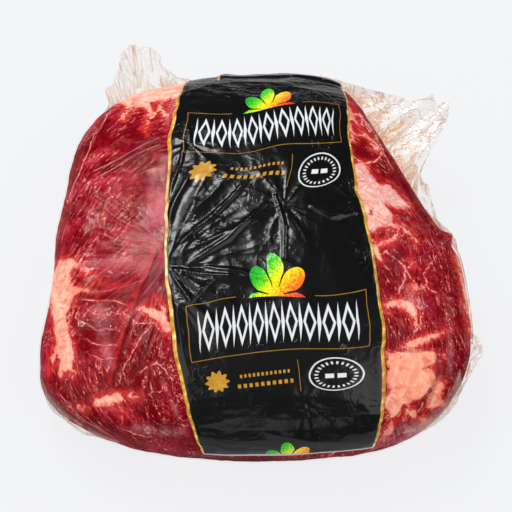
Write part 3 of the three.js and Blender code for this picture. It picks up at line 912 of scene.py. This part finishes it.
def panelRelief(points, places, shown):
    # stars and folds on the front, creases across both ends where the strip bends down, a crumple
    # that is stronger at the left, and the doubled end
    cell, reach = panelWrinkles["bend"]
    bent = places + reach * wander(points, cell, 65)
    total = panelWrinkles["fold"] * smooth(-1.8, 1.4, insideChains(bent, panelWrinkles["folds"]))
    for k, star in enumerate(panelWrinkles["stars"]):
        total = total + starHeight(bent, *star, 80 + k)
    total = total * shown
    cell, reach = panelWrinkles["sway"]
    swayed = points + reach * (noise(points, cell, 71)[..., None] - 0.5)
    ends = sum(share * smooth(begins, full, away) for away, (begins, full, share) in (
        (alongGrid, panelWrinkles["backEnd"]), (length - alongGrid, panelWrinkles["frontEnd"])))
    for k, (stretch, cell, height) in enumerate(panelWrinkles["creases"]):
        total = total + height * ends * ridges(swayed * [stretch, 1, 1], cell, 72 + k, 2.5)
    even, more = panelWrinkles["crumpleShare"]
    middle, begins, full = panelWrinkles["crumpleLeft"]
    left = smooth(0.95, 0.3, acrossGrid) * smooth(begins, full, np.abs(alongGrid - middle))
    for k, (cell, height) in enumerate(panelWrinkles["crumple"]):
        total = total + height * ridges(swayed, cell, 74 + k) * (even + more * left)
    cell, height = panelWrinkles["slack"]
    total = total + height * (noise(points, cell, 76) - 0.5)
    flap = smooth(*panelWrinkles["flapSide"], acrossGrid + 0.02 * (noise(points, 9, 77) - 0.5))
    return total + panelWrinkles["flap"] * flap * smooth(*panelWrinkles["flapEnd"], alongGrid)


toSide = np.minimum(acrossGrid, 1 - acrossGrid) * panelForm["narrow"]
toRim = np.minimum(toSide, np.minimum(alongGrid, length - alongGrid))
wrinkleRim, tuckRim = panelForm["rim"]
panelFacing = smooth(*viewFrame["turnsAway"], panelOut @ direction(-90.0, viewFrame["elevation"]))
panelHeight = lumpsAt(panelBare) + shapeGrid["filmGap"] + panelForm["lift"] - underFlap(panelSeen)
panelHeight = panelHeight + panelRelief(panelBare, panelSeen, panelFacing) * smooth(0, wrinkleRim, toRim)
panelHeight = panelHeight - panelForm["tuck"] * smooth(tuckRim, 0, toRim)


def shrunk(stations):
    # the print's place along the strip: read between the stations, and evened out over 12 mm
    places, prints = np.array(stations, float).T
    return sum(np.interp(along + shift, places, prints) for shift in (-6, -3, 0, 3, 6)) / 5


# print coordinates in mm: across from the left edge, and along the repeat. The film shrank more in
# some parts than in others, so where the print lies is blended between both edges, and drawn back
# in the middle towards the rear
printStart, printEnd = panelForm["printSides"]
rightShare = (acrossGrid - printStart) / (printEnd - printStart)
printAlong = (shrunk(panelForm["printLeft"])[:, None] * (1 - rightShare)
              + shrunk(panelForm["printRight"])[:, None] * rightShare)
bow = panelForm["bow"] * smooth(*panelForm["bowFades"], alongGrid)
printAlong = printAlong - bow * (1 - ((acrossGrid - 0.5) / panelForm["bowHalf"]) ** 2)
glareMiddle, glareHalf = panelForm["glare"]
panelFields = {
    "toEnd": length - alongGrid,
    "glare": np.exp(-((panelSeen[..., 1] - glareMiddle) / glareHalf) ** 2) * smooth(0.06, 0.02, acrossGrid),
    "crinkled": smooth(*panelForm["crinkled"], alongGrid),
}
printedFilm = gridPiece("printed_film", panelBare + panelOut * panelHeight[..., None],
                        uv=np.stack([acrossGrid * panelForm["width"], printAlong], -1), fields=panelFields)
print("panel made:", len(printedFilm.data.polygons), "faces")

# Black printed polyethylene: glossy ink under a clear skin, with gold and white in a repeat. The
# places and sizes are mm on the print, across and along; the fan's petals run from green to red
printLook = {
    "ink": "09090A", "goldDeep": "A87820", "gold": "CE962C", "goldPale": "E8BE50", "goldPaintedGlare": "FFF0B0",
    "inner": "B88428", "white": "DADCDF", "silver": "B4B6B9",
    "petals": [(0.10, "16A02C"), (0.30, "4FD21E"), (0.44, "F2EE1C"), (0.58, "FFC51A"), (0.72, "FF7A1C"),
               (0.88, "E4322C")],
    "gloss": 0.19, "polish": 0.30, "repeat": 160.0, "middle": 75.0, "edge": 2.6, "margin": 3.4,
    "fanCentre": (77.0, 31.5), "fanReach": 31.0, "fanNarrow": 1.30, "fanCore": 7.0,
    "frameMiddle": (75.0, 50.0), "frameHalf": (64.0, 20.5), "frameGap": 29.0, "line": 0.16,
    "rowPitch": 12.6, "rowHalf": (56.7, 15.5), "lozengeHalf": 4.6, "spindleHalf": 1.35,
    "sunMiddle": (27.0, 89.0), "sunReach": 8.2, "sunRays": (10.0, 1.3),
    # y, half height, middle and half length, pitch and half a dash
    "dashes": [(86.5, 1.3, 64.0, 20.0, 3.4, 0.85), (95.0, 1.8, 64.0, 22.0, 4.6, 1.265)],
    "ruleMiddle": (91.0, 92.5), "ruleHalf": 14.0,
    "ringMiddle": (117.0, 93.0), "ringHalf": (18.5, 15.0), "beads": 24, "bars": (4.2, 3.0, 2.0),
    "flapEdge": (32.5, 1.4, -20.0),
    "crumple": 8.0, "crinkle": 9.0, "crinkleHeight": 0.16, "crinklePatch": 26.0,
    "petalGrain": 0.55, "foilGrain": 0.16,    # cells of noise to a mm
}


def printMaterial(look):
    # each figure is 1 where a distance is under its limit; figures of a colour are joined by their
    # greatest value, and the colours are laid over the ink in turn
    material, add, toEnd, glare, crinkled = newMaterial("black_printed_polyethylene", panelFields)
    place, uv = add("TexCoord", output="Object"), add("UVMap", uv_map="place")
    x = add("SeparateXYZ", uv)
    along = x.node.outputs["Y"]
    y = add("FLOORED_MODULO", along, look["repeat"])

    def bar(value, middle, half, blur=0.25):
        # 1 where a value is nearer than half to the middle, with a soft edge as wide as blur
        beyond = add("SUBTRACT", add("ABSOLUTE", add("SUBTRACT", value, middle)), half)
        return add("MapRange", beyond, blur, -blur)

    def offset(middle):
        # the distances from a point across and along
        return add("SUBTRACT", x, middle[0]), add("SUBTRACT", y, middle[1])

    def radius(a, b):
        # the root of the sum of two squares
        return add("SQRT", add("ADD", add("POWER", a, 2.0), add("POWER", b, 2.0)))

    # gold: both edges of the strip, the thin frame, the sun, the dashed lines, the rule, and the
    # strip's other edge, which the doubled end at the back shows
    edges = weighted(add, 1.0, (bar(x, look["middle"], look["middle"] - look["edge"]), -1.0))
    fx, fy = offset(look["frameMiddle"])
    outside = add("MAXIMUM", add("SUBTRACT", add("ABSOLUTE", fx), look["frameHalf"][0]),
                  add("SUBTRACT", add("ABSOLUTE", fy), look["frameHalf"][1]))
    underFan = add("LESS_THAN", add("ABSOLUTE", fx), look["frameGap"])
    underFan = add("MULTIPLY", underFan, add("LESS_THAN", fy, 0.0))
    thinFrame = add("MULTIPLY", bar(outside, 0.0, look["line"]), add("SUBTRACT", 1.0, underFan))
    sx, sy = offset(look["sunMiddle"])
    rays, rayReach = look["sunRays"]
    ray = add("COSINE", add("MULTIPLY", add("ARCTAN2", sy, sx), rays))
    sun = bar(radius(sx, sy), 0.0, add("MULTIPLY_ADD", ray, rayReach, look["sunReach"]))
    dashes = [add("MULTIPLY", bar(y, height, half), bar(x, middle, run),
                  bar(add("FLOORED_MODULO", x, pitch), pitch / 2, dash))
              for height, half, middle, run, pitch, dash in look["dashes"]]
    ux, uy = offset(look["ruleMiddle"])
    rule = add("MULTIPLY", bar(ux, 0.0, look["line"]), bar(uy, 0.0, look["ruleHalf"]))
    flapX, flapHalf, flapEnd = look["flapEdge"]
    flapEdge = add("MULTIPLY", bar(x, flapX, flapHalf), add("LESS_THAN", along, flapEnd))
    gold = add("MAXIMUM", edges, thinFrame, sun, *dashes, rule, flapEdge)
    # white: tall open lozenges with slim spindles between them, and the oval ring with its beads
    rowX, rowY = look["rowHalf"]
    pitch = look["rowPitch"]
    cellX = add("FLOORED_MODULO", add("ADD", fx, rowX), pitch)
    cellX = add("ABSOLUTE", add("SUBTRACT", cellX, pitch / 2))
    tall = add("DIVIDE", add("ABSOLUTE", fy), rowY)
    lozenge = bar(add("ADD", add("DIVIDE", cellX, look["lozengeHalf"]), tall), 0.78, 0.18, 0.05)
    spindle = add("DIVIDE", add("SUBTRACT", pitch / 2, cellX), look["spindleHalf"])
    spindle = bar(add("ADD", spindle, tall), 0.0, 0.98, 0.06)
    row = add("MULTIPLY", add("MAXIMUM", lozenge, spindle), bar(fx, 0.0, rowX + 0.4))
    ox, oy = offset(look["ringMiddle"])
    ringX, ringY = [add("DIVIDE", side, half) for side, half in zip((ox, oy), look["ringHalf"])]
    ring = radius(ringX, ringY)
    bead = add("FRACT", add("MULTIPLY", add("ARCTAN2", ringY, ringX), look["beads"] / 6.2832))
    beads = add("MULTIPLY", bar(bead, 0.5, 0.20, 0.06), bar(ring, 0.74, 0.07, 0.03))
    barX, barHalf, barTall = look["bars"]
    bars = add("MULTIPLY", bar(add("ABSOLUTE", ox), barX, barHalf), bar(oy, 0.0, barTall))
    white = add("MAXIMUM", row, bar(ring, 1.0, 0.032, 0.012), beads, bars)
    # the fan: seven petals opening away from the frame
    px, py = offset(look["fanCentre"])
    px = add("MULTIPLY", px, look["fanNarrow"])
    reach = radius(px, py)
    turn = add("ARCTAN2", px, add("MULTIPLY", py, -1.0))
    petal = add("ABSOLUTE", add("COSINE", add("MULTIPLY", turn, 3.5)))
    limit = add("MULTIPLY_ADD", add("POWER", petal, 0.55), 0.62 * look["fanReach"], 0.38 * look["fanReach"])
    whole = add("MAXIMUM", add("GREATER_THAN", petal, 0.16), add("LESS_THAN", reach, look["fanCore"]))
    fan = add("MULTIPLY", bar(reach, 0.0, limit), whole, add("LESS_THAN", py, 0.0))
    grain = add("flatNoise", uv, look["petalGrain"], 3.0)
    slope = weighted(add, 0.37, (px, 0.013), (py, 0.0143), (grain, 0.5))
    # the foil's tone varies at random from deep to pale gold, and its brightest spots are painted glints
    foilToneAndGlints = add("flatNoise", uv, look["foilGrain"], 3.0)
    foil = add("ValToRGB", foilToneAndGlints, ramp=[(0.30, look["goldDeep"]), (0.48, look["gold"]),
                                         (0.62, look["goldPale"]), (0.80, look["goldPaintedGlare"])])
    # a painted highlight on the left gold edge, broken up by the foil's noise; the gold inside the edges is
    # darker
    foil = layered(add, foil, (glare, weighted(add, -0.9, (foilToneAndGlints, 3.0)), look["goldPaintedGlare"]),
                   (weighted(add, 0.85, (edges, -0.85)), 1.0, look["inner"]))
    colour = layered(
        add, look["ink"], (gold, 1.0, foil), (white, 1.0, look["white"]),
        (fan, 1.0, add("ValToRGB", slope, ramp=look["petals"])),
        (bar(toEnd, 0.0, look["margin"]), 1.0, look["silver"]))
    # a soft crumple, and fine sharp crinkles in patches, and all over where the film is crinkled
    crumple = add("TexNoise", place, 1000 / look["crumple"], 3.0, Distortion=1.0)
    normal = add("Bump", 0.25, 0.001, Height=crumple)
    sharp = crest(add, add("TexNoise", place, 1000 / look["crinkle"], 1.0, Distortion=1.0), 0.07)
    spread = weighted(add, add("TexNoise", place, 1000 / look["crinklePatch"], 2.0), (crinkled, 0.18))
    sharp = add("MULTIPLY", sharp, add("MapRange", spread, 0.56, 0.70), look["crinkleHeight"])
    normal = add("Bump", 1.0, 0.001, Height=sharp, Normal=normal)
    add("OutputMaterial", add("BsdfPrincipled", Roughness=look["gloss"], IOR=1.5, Normal=normal, **{
        "Base Color": colour, "Specular IOR Level": look["polish"]}))
    return material


printedFilm.data.materials.append(printMaterial(printLook))

# The bag's gathered ends and side seams: sheets from a line on the pack, given as azimuth and
# elevation, to a free edge in mm. Folds are their count and depth; body, tan and comb are shares
filmEnds = {
    "film_end_back_left": {
        "root": [(134, 17), (129, 17), (125, 17), (121, 17), (115, 17), (107, 17)],
        "freeEdge": [(-113, 125, 60), (-117, 132, 62), (-111, 139, 63), (-109, 147, 65), (-107, 158, 68),
                     (-104, 166, 70), (-97, 171, 71), (-91, 169, 70), (-85, 170, 70), (-79, 166, 68),
                     (-76, 157, 66), (-68, 151, 63), (-60, 147, 61), (-50, 146, 58)],
        "grid": (50, 200), "folds": (9, 2.4), "seed": 5, "taper": 0.02,
        "body": 0.0, "tan": 0.25, "comb": 0.8,
    },
    "film_end_back_right": {
        "root": [(72, 16), (65, 15), (58, 14), (50, 13), (43, 12), (36, 12), (28, 12), (20, 12), (12, 12),
                 (5, 10)],
        "freeEdge": [(60, 149, 55), (66, 147, 57), (80, 141, 57), (94, 136, 57), (108, 131, 58),
                     (121, 126, 59), (131, 127, 61), (138, 129, 63), (140, 122, 61), (149, 122, 63),
                     (149, 114, 62), (146, 102, 60), (139, 90, 58), (132, 78, 56), (126, 66, 54),
                     (126, 57, 53), (130, 51, 53), (132, 41, 52), (133, 33, 52)],
        "grid": (70, 260), "folds": (11, 2.4), "seed": 8, "taper": 0.02,
        "body": 0.0, "tan": 1.0, "comb": 0.15,
    },
    "film_end_right": {
        "root": [(-24, 10), (-28, 10), (-32, 10), (-36, 10), (-40, 9)],
        "freeEdge": [(150, -74, 52), (156, -72, 48), (159, -77, 48), (161, -87, 48), (156, -96, 46),
                     (149, -106, 44), (145, -112, 42)],
        "grid": (24, 90), "folds": (4, 1.4), "seed": 11, "taper": 0.05,
        "body": 0.1, "tan": 0.6, "comb": 0.4,
    },
    "side_seam_right": {
        "root": [(14, 16), (8, 15), (0, 14), (-7, 13), (-14, 12), (-21, 12), (-27, 10)],
        "freeEdge": [(134, 36, 52), (140, 20, 51), (147, 8, 50), (148, -9, 54), (151, -28, 53),
                     (154, -52, 51), (154, -73, 52)],
        "grid": (12, 120), "folds": (5, 0.6), "seed": 14, "taper": 0.30,
        "body": 0.6, "tan": 0.7, "comb": 0.5,
    },
    "side_seam_front_right": {
        "root": [(-37, 26), (-42, 25), (-47, 23), (-52, 20), (-56, 15)],
        "freeEdge": [(149, -105, 45), (144, -118, 42), (134, -129, 34), (120, -140, 33), (105, -148, 31)],
        "grid": (14, 100), "folds": (5, 0.5), "seed": 17, "taper": 0.35,
        "body": 0.18, "tan": 0.15, "comb": 0.5,
    },
    "side_seam_front_left": {
        "root": [(-144, 17), (-141, 18), (-137, 16), (-132, 13), (-127, 9), (-122, 4)],
        "freeEdge": [(-156, -104, 32), (-148, -119, 29), (-134, -132, 30), (-119, -142, 28),
                     (-103, -148, 26)],
        "grid": (14, 110), "folds": (6, 0.5), "seed": 20, "taper": 0.30,
        "body": 0.20, "tan": 0.15, "comb": 0.5,
    },
}
filmSheet = {"thickness": 0.3, "rootGap": 0.4, "gap": 1.5, "ragged": 1.8}   # mm


def filmEnd(name, end):
    # straight lines from the root to the free edge, held clear of the pack; folds run along them,
    # and a side seam dies out at both its ends
    rows, columns = end["grid"]
    folds, foldDepth = end["folds"]
    alongEdge = np.linspace(0, 1, columns + 1)
    outwards = np.linspace(0, 1, rows + 1)[:, None]
    toCorner = np.minimum(alongEdge, 1 - alongEdge)
    angles = openCurve([(*pair, 0) for pair in end["root"]], alongEdge)
    rootWay = direction(angles[:, 0], angles[:, 1])
    root = packPoint(rootWay)
    root = root - carved(rootWay)[:, None] * rootWay
    edge = openCurve(end["freeEdge"], alongEdge)
    reach = np.linalg.norm(edge - root, axis=-1)
    tip = np.stack([alongEdge * folds * 2.2, 0 * alongEdge, 0 * alongEdge + end["seed"]], -1)
    trim = noise(tip, 0.7, 31) + 0.5 * noise(tip, 0.25, 32) - 0.85
    trim = filmSheet["ragged"] * trim / np.maximum(reach, 12)
    taper = smooth(0, 1, toCorner / end["taper"] + 0.02)
    flat = root[None] + (edge - root)[None] * (outwards * (1 + trim) * taper)[..., None]
    flat = clearOfPack(flat, filmSheet["rootGap"] + filmSheet["gap"] * smooth(0, 0.3, outwards))
    lift = gridNormals(flat)
    lift = lift * np.sign(lift[..., 2:3].mean())
    key = np.stack(np.broadcast_arrays(alongEdge * folds, outwards * 0.9, end["seed"]), -1)
    fold = noise(key, 0.8, 3) - 0.5 + 0.35 * (noise(key, 0.3, 4) - 0.5)
    wave = foldDepth * 2.0 * fold * np.minimum(1, 0.2 + 1.2 * outwards) * np.minimum(1, toCorner * 7)
    middle = flat + lift * wave[..., None]
    skin = lift * filmSheet["thickness"] / 2
    ring = np.concatenate([middle + skin, (middle - skin)[:, ::-1]], 1)
    tone = np.broadcast_to(1 - outwards, (rows + 1, columns + 1))
    # sheet coordinates in mm: along the free edge, and out from the root
    sheet = np.stack(np.broadcast_arrays(arcLength(edge) + 100 * end["seed"], outwards * reach), -1)
    fields = {word: np.full(ring.shape[:2], end[word]) for word in ("body", "tan", "comb")}
    return gridPiece(name, ring, wrap=True, sheet=True, uv=np.concatenate([sheet, sheet[:, ::-1]], 1),
                     fields={"root": np.concatenate([tone, tone[:, ::-1]], 1)} | fields)


# Gathered clear film: nearly all light goes through it. Layers over each other tint it tan near the
# meat and whiten it a little farther out, with windows of single film and thin tan ribs on the
# folds; where a seam has drawn much of it together it has a peach body
gatherLook = {
    "clear": "FEFDFC", "tan": "F2D6BE", "rib": "E6C8B4", "veil": "F6F1EC", "peach": "F3CDB6",
    "gloss": 0.20, "mirror": 0.035, "cover": 0.03,
    "ribs": (7.5, 60.0), "window": 13.0, "hole": (5.0, 4.0),    # mm apart and long
    "nets": [(16, 1.0), (8, 0.6)],                              # mm, and the share that shows
}


def gatherMaterial(look):
    # windows, ribs and the tint are levels of noise; they fade from the root to the free edge
    material, add, root, gathered, tan, comb = newMaterial(
        "gathered_polyethylene_film", ("root", "body", "tan", "comb"))
    place, uv = add("TexCoord", output="Object"), add("UVMap", uv_map="place")
    apart, run = look["ribs"]
    wideRibs, closeRibs = [crest(add, drawnOut(add, uv, pitch, run, 1.0, 0.35), 0.05)
                           for pitch in (apart, apart / 2.2)]
    ribs = add("MULTIPLY", add("MAXIMUM", wideRibs, add("MULTIPLY", closeRibs, 0.4)), comb)
    for size, share in look["nets"]:
        net = crest(add, add("TexNoise", place, 1000 / size, 3.0, 0.45, Distortion=0.8), 0.032)
        ribs = add("MAXIMUM", ribs, add("MULTIPLY", net, weighted(add, share, (comb, -share))))
    cloud = drawnOut(add, uv, look["window"], look["window"] * 1.2, 3.0, 0.9)
    tone = add("MULTIPLY_ADD", root, 1.5, weighted(add, -1.52, (cloud, 1.8)), use_clamp=True)
    window = add("MULTIPLY", add("step", cloud, 0.43, 0.39), add("step", root, 0.10, 0.4))
    hole = add("step", drawnOut(add, uv, *look["hole"], 3.0, 0.8), 0.47, 0.41)
    window = add("MINIMUM", add("MAXIMUM", window, add("MULTIPLY", hole, gathered, 1.2)), 1.0)
    inner = add("MULTIPLY_ADD", add("GREATER_THAN", gathered, 0.15), -0.37, 0.99)
    solid = add("MULTIPLY", weighted(add, 1.0, (window, -0.9)), add("step", root, 1.0, inner))
    tint = layered(add, look["clear"], (add("MULTIPLY", tone, tan), solid, look["tan"]),
                   (ribs, solid, look["rib"]))
    share = add("MULTIPLY", weighted(add, look["cover"], (cloud, 0.16), (gathered, 0.75)), solid)
    milky = add("blend", gathered, look["veil"], look["peach"])
    normal = add("Bump", 0.5, 0.001, Height=weighted(add, cloud, (ribs, 0.4)))
    lit = [add(kind, milky, Normal=normal) for kind in ("BsdfDiffuse", "BsdfTranslucent")]
    body = add("MixShader", share, add("BsdfTransparent", tint), add("MixShader", 0.5, *lit))
    glossOver(add, body, normal, look["gloss"], look["mirror"], solid)
    return material


gatheredFilm = gatherMaterial(gatherLook)
ends = [filmEnd(name, end) for name, end in filmEnds.items()]
for piece in ends:
    piece.data.materials.append(gatheredFilm)
print("film ends made:", [piece.name for piece in ends])

# What stands for which solid, and what it rides on
for piece in [beef, clearBag, *ends]:
    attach(piece, "root")
    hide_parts("sealed_pack")
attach(printedFilm, "root")
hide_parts("printed_panel")

# A plain pale floor that is lit a little from below, and soft polarised studio light
studio = {
    "floor": "4B4C4E", "floorLight": "F4F5F7", "floorGlow": 0.895, "floorHalf": 4.0,   # m
    # degrees round from +X and above the floor, distance and size in m, watts
    "lamps": [(112, 57, 2.0, 0.60, 15.0), (130, 54, 2.1, 1.2, 10.0), (-155, 46, 2.0, 2.0, 15.0),
              (-25, 46, 2.0, 1.8, 15.5), (35, 42, 2.0, 0.24, 3.0), (150, 40, 2.0, 0.24, 5.0),
              (-90, 26, 2.2, 1.00, 2.5)],
    "sky": "F4F6FA",
    # from and to, in parts of the way up or to the back, and the light's share there
    "skyHeight": (0.05, 0.55, 0.34, 0.33),
    "skyFront": (-0.9, 0.1, 0.45, 1.0),
    "darkCloth": (0.10, 0.50, 1.0, 0.28),   # hangs at the back, where the black film mirrors it
}
floorMesh = bpy.data.meshes.new("floor")
half = studio["floorHalf"]
floorMesh.from_pydata([(x * half, y * half, 0) for x, y in ((-1, -1), (1, -1), (1, 1), (-1, 1))], [],
                      [(0, 1, 2, 3)])
floor = bpy.data.objects.new("floor", floorMesh)
bpy.context.scene.collection.objects.link(floor)
floorMaterial, add = newMaterial("matt_white_studio_floor")
add("OutputMaterial", add("BsdfPrincipled", Roughness=0.9, **{
    "Base Color": studio["floor"], "Specular IOR Level": 0.0, "Emission Color": studio["floorLight"],
    "Emission Strength": studio["floorGlow"]}))
floor.data.materials.append(floorMaterial)
floor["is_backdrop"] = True
for number, (azimuth, elevation, distance, size, watts) in enumerate(studio["lamps"]):
    light = bpy.data.lights.new(f"lamp_{number}", "AREA")
    light.shape, light.size, light.energy = "DISK", size, watts
    lamp = bpy.data.objects.new(f"lamp_{number}", light)
    lamp.location = direction(azimuth, elevation) * distance + np.array([0, 0, 0.05])
    lamp.rotation_euler = (np.radians(90 - elevation), 0, np.radians(azimuth + 90))
    bpy.context.scene.collection.objects.link(lamp)
world = bpy.data.worlds.new("pale_room")
world.use_nodes = True
world.node_tree.nodes.clear()
add = partial(addNode, world.node_tree)
upward = add("SeparateXYZ", add("TexCoord", output="Generated"), output="Z")
backward = upward.node.outputs["Y"]
glow = add("MULTIPLY", add("step", upward, *studio["skyHeight"]), add("step", backward, *studio["skyFront"]),
           add("step", backward, *studio["darkCloth"]))
add("OutputWorld", add("Background", studio["sky"], glow))
bpy.context.scene.world = world
bpy.context.scene.view_settings.view_transform = "Standard"
print("studio lit:", len(studio["lamps"]), "lamps")

tilt = np.radians(viewFrame["elevation"])
target = np.array(viewFrame["target"]) / 1000
cameraData = bpy.data.cameras.new("camera")
cameraData.lens, cameraData.sensor_width = viewFrame["lens"], viewFrame["sensor"]
cameraData.clip_start, cameraData.clip_end = 0.01, 50
camera = bpy.data.objects.new("camera", cameraData)
camera.location = target + viewFrame["distance"] / 1000 * np.array([0, -np.cos(tilt), np.sin(tilt)])
camera.rotation_euler = (np.pi / 2 - tilt, 0, 0)
bpy.context.scene.collection.objects.link(camera)
bpy.context.scene.camera = camera

low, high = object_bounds()
print("visual box:", [round(v, 4) for v in low], [round(v, 4) for v in high])
